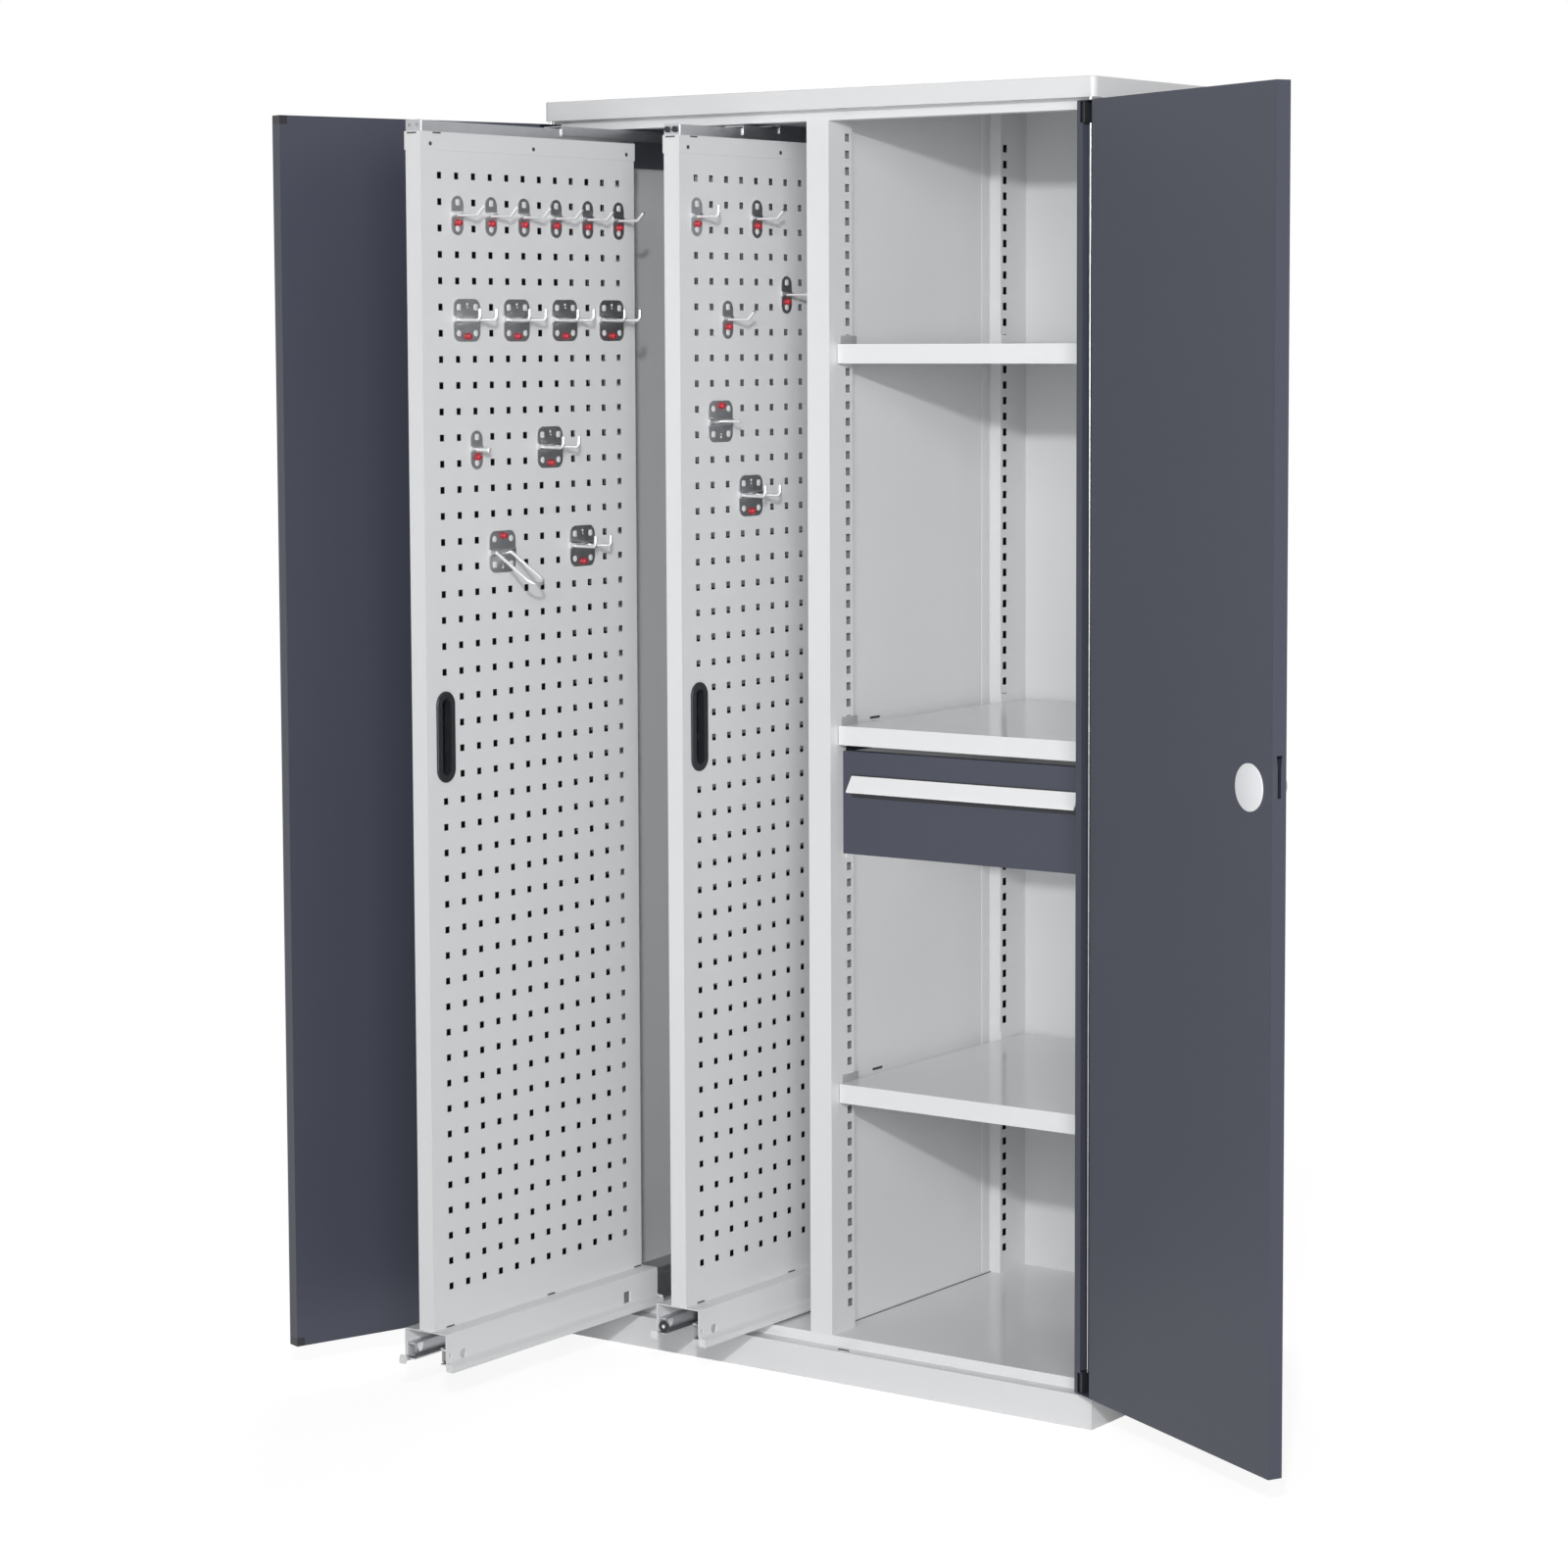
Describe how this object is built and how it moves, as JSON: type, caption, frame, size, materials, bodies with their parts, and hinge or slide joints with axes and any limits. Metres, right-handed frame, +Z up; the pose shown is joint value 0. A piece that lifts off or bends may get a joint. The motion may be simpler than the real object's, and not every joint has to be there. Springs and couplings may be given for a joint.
{
  "type": "vertical pull-out cabinet",
  "caption": "Tall two-door steel cabinet with vertical pull-out perforated tool panels on one side, and shelves and a drawer on the other.",
  "frame": {"origin": "middle of the cabinet's footprint, on the floor", "axes": "+Z up, -Y towards the doors, +X to the right seen from the front"},
  "size_m": [1.576, 1.0645, 1.95],
  "materials": {
    "body_paint": "fine satin powder coat, light grey",
    "panel_paint": "fine satin powder coat, light grey",
    "door_paint": "fine satin powder coat, anthracite",
    "handle_paint": "satin, near white",
    "zinc_steel": "bright zinc plated",
    "zinc_wire": "zinc plated",
    "black_plastic": "fine matt",
    "red_plastic": "satin",
    "grey_plastic": "fine matt"
  },
  "bodies": {
    "cabinet": {"side_panel_left": "body_paint", "side_panel_right": "body_paint", "back_panel": "body_paint", "roof": "body_paint", "header_rail": "body_paint", "top_slide_carrier": "door_paint", "plinth": "body_paint", "floor_panel": "body_paint", "divider_panel": "body_paint", "divider_post_front": "body_paint", "divider_post_rear": "body_paint", "corner_posts_left": "body_paint", "corner_posts_right": "body_paint", "hinge_rods": "zinc_steel", "shelf_upper": "body_paint", "shelf_middle": "body_paint", "shelf_lower": "body_paint", "shelf_clips": "zinc_steel", "drawer_housing": "body_paint", "drawer_slides_fixed": "zinc_steel", "pullout_beams": "zinc_steel", "left_slides_fixed": "zinc_steel", "right_slides_fixed": "zinc_steel"},
    "left_slide_middle": {"left_slides_middle": "zinc_steel"},
    "right_slide_middle": {"right_slides_middle": "zinc_steel"},
    "drawer_slide_middle": {"drawer_slides_middle": "zinc_steel"},
    "left_pullout": {"left_panel_skin_right": "panel_paint", "left_panel_skin_left": "panel_paint", "left_panel_stiles": "panel_paint", "left_top_cap": "panel_paint", "left_carriage": "panel_paint", "left_grip_ring": "black_plastic", "left_tool_holders": "zinc_wire", "left_holder_clips": "red_plastic", "left_slides_inner": "zinc_steel"},
    "right_pullout": {"right_panel_skin_right": "panel_paint", "right_panel_skin_left": "panel_paint", "right_panel_stiles": "panel_paint", "right_top_cap": "panel_paint", "right_carriage": "panel_paint", "right_grip_ring": "black_plastic", "right_tool_holders": "zinc_wire", "right_holder_clips": "red_plastic", "right_slides_inner": "zinc_steel"},
    "drawer": {"drawer_box": "body_paint", "drawer_front": "door_paint", "drawer_handle": "handle_paint", "drawer_slides_inner": "zinc_steel"},
    "left_door": {"left_door_skin": "door_paint", "left_door_inner": "door_paint", "left_door_caps": "black_plastic", "left_door_bearings": "black_plastic"},
    "right_door": {"right_door_skin": "door_paint", "right_door_inner": "door_paint", "right_door_bearings": "black_plastic", "lock_cover_disc": "grey_plastic"},
    "lock_turner": {"lock_knob": "grey_plastic", "lock_cam": "zinc_steel"},
    "lock_rod_up": {"lock_rod_upper": "zinc_steel"},
    "lock_rod_down": {"lock_rod_lower": "zinc_steel"}
  },
  "joints": [
    {"name": "left_door_hinge", "type": "hinge", "parent": "cabinet", "child": "left_door", "pos_m": [-0.49, -0.2845, 1], "axis": [0, 0, -1], "range_deg": [-24.6, 61.4]},
    {"name": "right_door_hinge", "type": "hinge", "parent": "cabinet", "child": "right_door", "pos_m": [0.49, -0.2845, 1], "axis": [0, 0, 1], "range_deg": [-152.8, 17.2]},
    {"name": "left_pullout_slide", "type": "slide", "parent": "cabinet", "child": "left_pullout", "axis": [0, -1, 0], "range_m": [-0.525, 0]},
    {"name": "left_middle_slide", "type": "slide", "parent": "cabinet", "child": "left_slide_middle", "axis": [0, -1, 0], "range_m": [-0.2625, 0]},
    {"name": "right_pullout_slide", "type": "slide", "parent": "cabinet", "child": "right_pullout", "axis": [0, -1, 0], "range_m": [-0.198, 0.327]},
    {"name": "right_middle_slide", "type": "slide", "parent": "cabinet", "child": "right_slide_middle", "axis": [0, -1, 0], "range_m": [-0.099, 0.1635]},
    {"name": "drawer_slide", "type": "slide", "parent": "cabinet", "child": "drawer", "axis": [0, -1, 0], "range_m": [0, 0.44]},
    {"name": "drawer_middle_slide", "type": "slide", "parent": "cabinet", "child": "drawer_slide_middle", "axis": [0, -1, 0], "range_m": [0, 0.22]},
    {"name": "lock_rod_up_slide", "type": "slide", "parent": "right_door", "child": "lock_rod_up", "axis": [0, 0, 1], "range_m": [0, 0.012]},
    {"name": "lock_turn", "type": "hinge", "parent": "right_door", "child": "lock_turner", "pos_m": [0.87806, -0.47888, 0.983], "axis": [-0.4571, -0.8894, 0], "range_deg": [0, 90]},
    {"name": "lock_rod_down_slide", "type": "slide", "parent": "right_door", "child": "lock_rod_down", "axis": [0, 0, -1], "range_m": [0, 0.012]}
  ],
  "couplings": [
    {"joint": "left_middle_slide", "follows": "left_pullout_slide", "ratio": 0.5},
    {"joint": "right_middle_slide", "follows": "right_pullout_slide", "ratio": 0.5},
    {"joint": "drawer_middle_slide", "follows": "drawer_slide", "ratio": 0.5},
    {"joint": "lock_turn", "follows": "lock_rod_up_slide", "rad_per_m": 130.89},
    {"joint": "lock_rod_down_slide", "follows": "lock_rod_up_slide", "ratio": 1}
  ]
}
